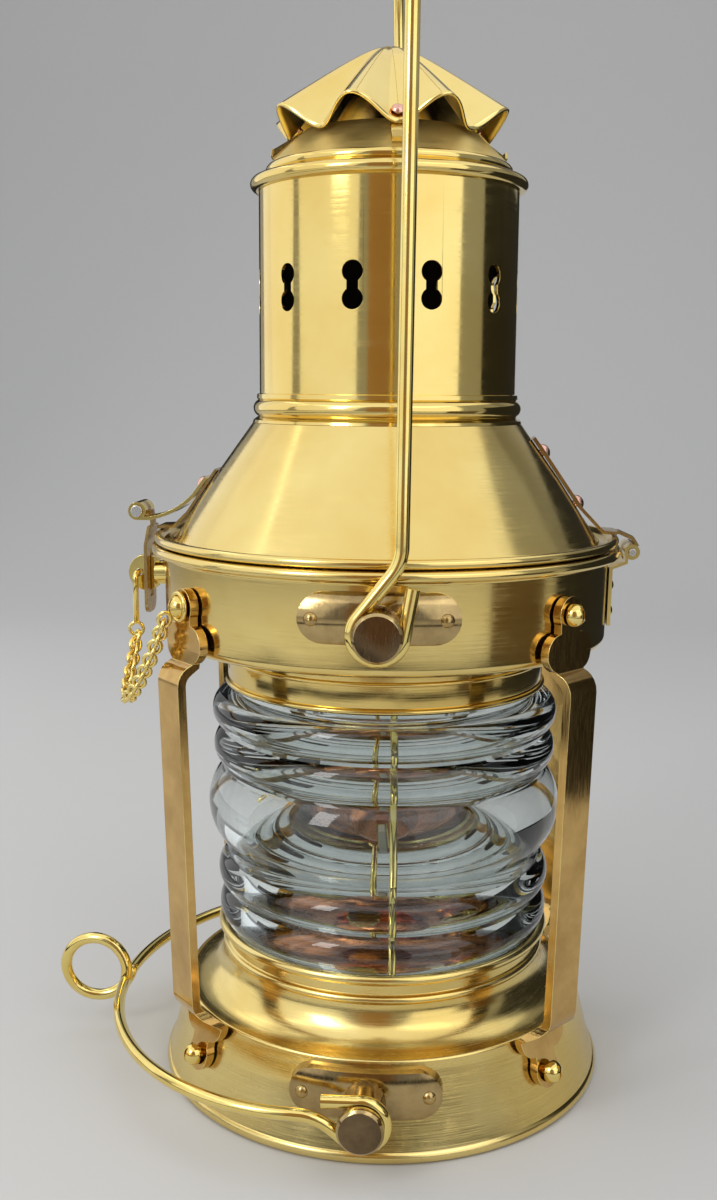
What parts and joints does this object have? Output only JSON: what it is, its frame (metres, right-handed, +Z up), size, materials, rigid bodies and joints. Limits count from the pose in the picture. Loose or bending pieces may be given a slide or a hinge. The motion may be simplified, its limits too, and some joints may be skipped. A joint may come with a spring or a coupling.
{
  "type": "ship's anchor lamp",
  "caption": "Brass all-round anchor lamp with ribbed glass, strap guards, hinged chimney lid, wire carry bail, downhaul bail and a lift-out oil font.",
  "frame": {"origin": "centre of the flat underside of the base", "axes": "+Z up along the lamp's axis, -Y the front with the studs of both bails along Y, +X towards the lid hinge and -X towards the hasp"},
  "size_m": [0.212, 0.1968, 0.4597],
  "materials": {
    "polished_brass": "polished with fine spin lines",
    "filed_brass": "cast and filed, half bright",
    "dull_bronze": "dull",
    "copper": "copper, half bright",
    "bright_steel": "bright",
    "clear_glass": "clear, pressed ribs",
    "cotton": "woven"
  },
  "bodies": {
    "lantern": {"base_pan": "polished_brass", "base_plate": "polished_brass", "font_seat": "polished_brass", "lower_gallery": "polished_brass", "glass_lens": "clear_glass", "upper_gallery": "polished_brass", "top_band": "polished_brass", "guard_front_left": "filed_brass", "guard_front_right": "filed_brass", "guard_rear_left": "filed_brass", "guard_rear_right": "filed_brass", "guard_screws": "filed_brass", "upper_lug_front": "filed_brass", "upper_lug_rear": "filed_brass", "base_lug_front": "filed_brass", "base_lug_rear": "filed_brass", "lug_rivets": "dull_bronze", "hinge_leaf": "dull_bronze", "hinge_pin": "bright_steel", "leaf_rivets": "dull_bronze", "staple": "polished_brass", "lock_chain": "polished_brass", "font": "copper", "font_handle": "polished_brass", "filler_cap": "polished_brass", "burner": "copper", "wick_tube": "polished_brass"},
    "lid": {"lid_cone": "polished_brass", "neck_collar": "polished_brass", "chimney": "polished_brass", "chimney_cap": "polished_brass", "crown": "polished_brass", "crown_tabs": "polished_brass", "crown_rivets": "copper", "lid_strap": "dull_bronze", "strap_rivets": "copper", "hasp_bracket": "dull_bronze", "hasp_leaf": "polished_brass", "hasp_rivet": "copper", "hasp_pin": "bright_steel"},
    "hasp": {"hasp": "dull_bronze"},
    "lock_pin": {"lock_pin": "polished_brass"},
    "carry_bail": {"carry_bail": "polished_brass"},
    "downhaul_bail": {"downhaul_bail": "polished_brass"},
    "winder": {"winder": "polished_brass"},
    "wick": {"wick": "cotton"}
  },
  "joints": [
    {"name": "carry_swing", "type": "hinge", "parent": "lantern", "child": "carry_bail", "pos_m": [0, 0, 0.175], "axis": [-0.0419, 0.9991, 0], "range_deg": [-120, 120]},
    {"name": "downhaul_swing", "type": "hinge", "parent": "lantern", "child": "downhaul_bail", "pos_m": [0, 0, 0.0208], "axis": [0, 1, 0], "range_deg": [-208, 20]},
    {"name": "lid_hinge", "type": "hinge", "parent": "lantern", "child": "lid", "pos_m": [0.0856, 0, 0.19035], "axis": [0, 1, 0], "range_deg": [0, 105]},
    {"name": "hasp_hinge", "type": "hinge", "parent": "lid", "child": "hasp", "pos_m": [-0.0884, 0, 0.2018], "axis": [0, 1, 0], "range_deg": [0, 140]},
    {"name": "lock_pin_draw", "type": "slide", "parent": "lantern", "child": "lock_pin", "axis": [0, -1, 0], "range_m": [0, 0.016], "deforming": ["lock_chain"]},
    {"name": "winder_turn", "type": "hinge", "parent": "lantern", "child": "winder", "pos_m": [-0.00465, 0, 0.0586], "axis": [0, -1, 0], "range_deg": [-30, 90]},
    {"name": "wick_rise", "type": "slide", "parent": "lantern", "child": "wick", "axis": [0, 0, 1], "range_m": [-0.00157, 0.00471]}
  ],
  "couplings": [
    {"joint": "winder_turn", "follows": "wick_rise", "rad_per_m": 333.33}
  ]
}
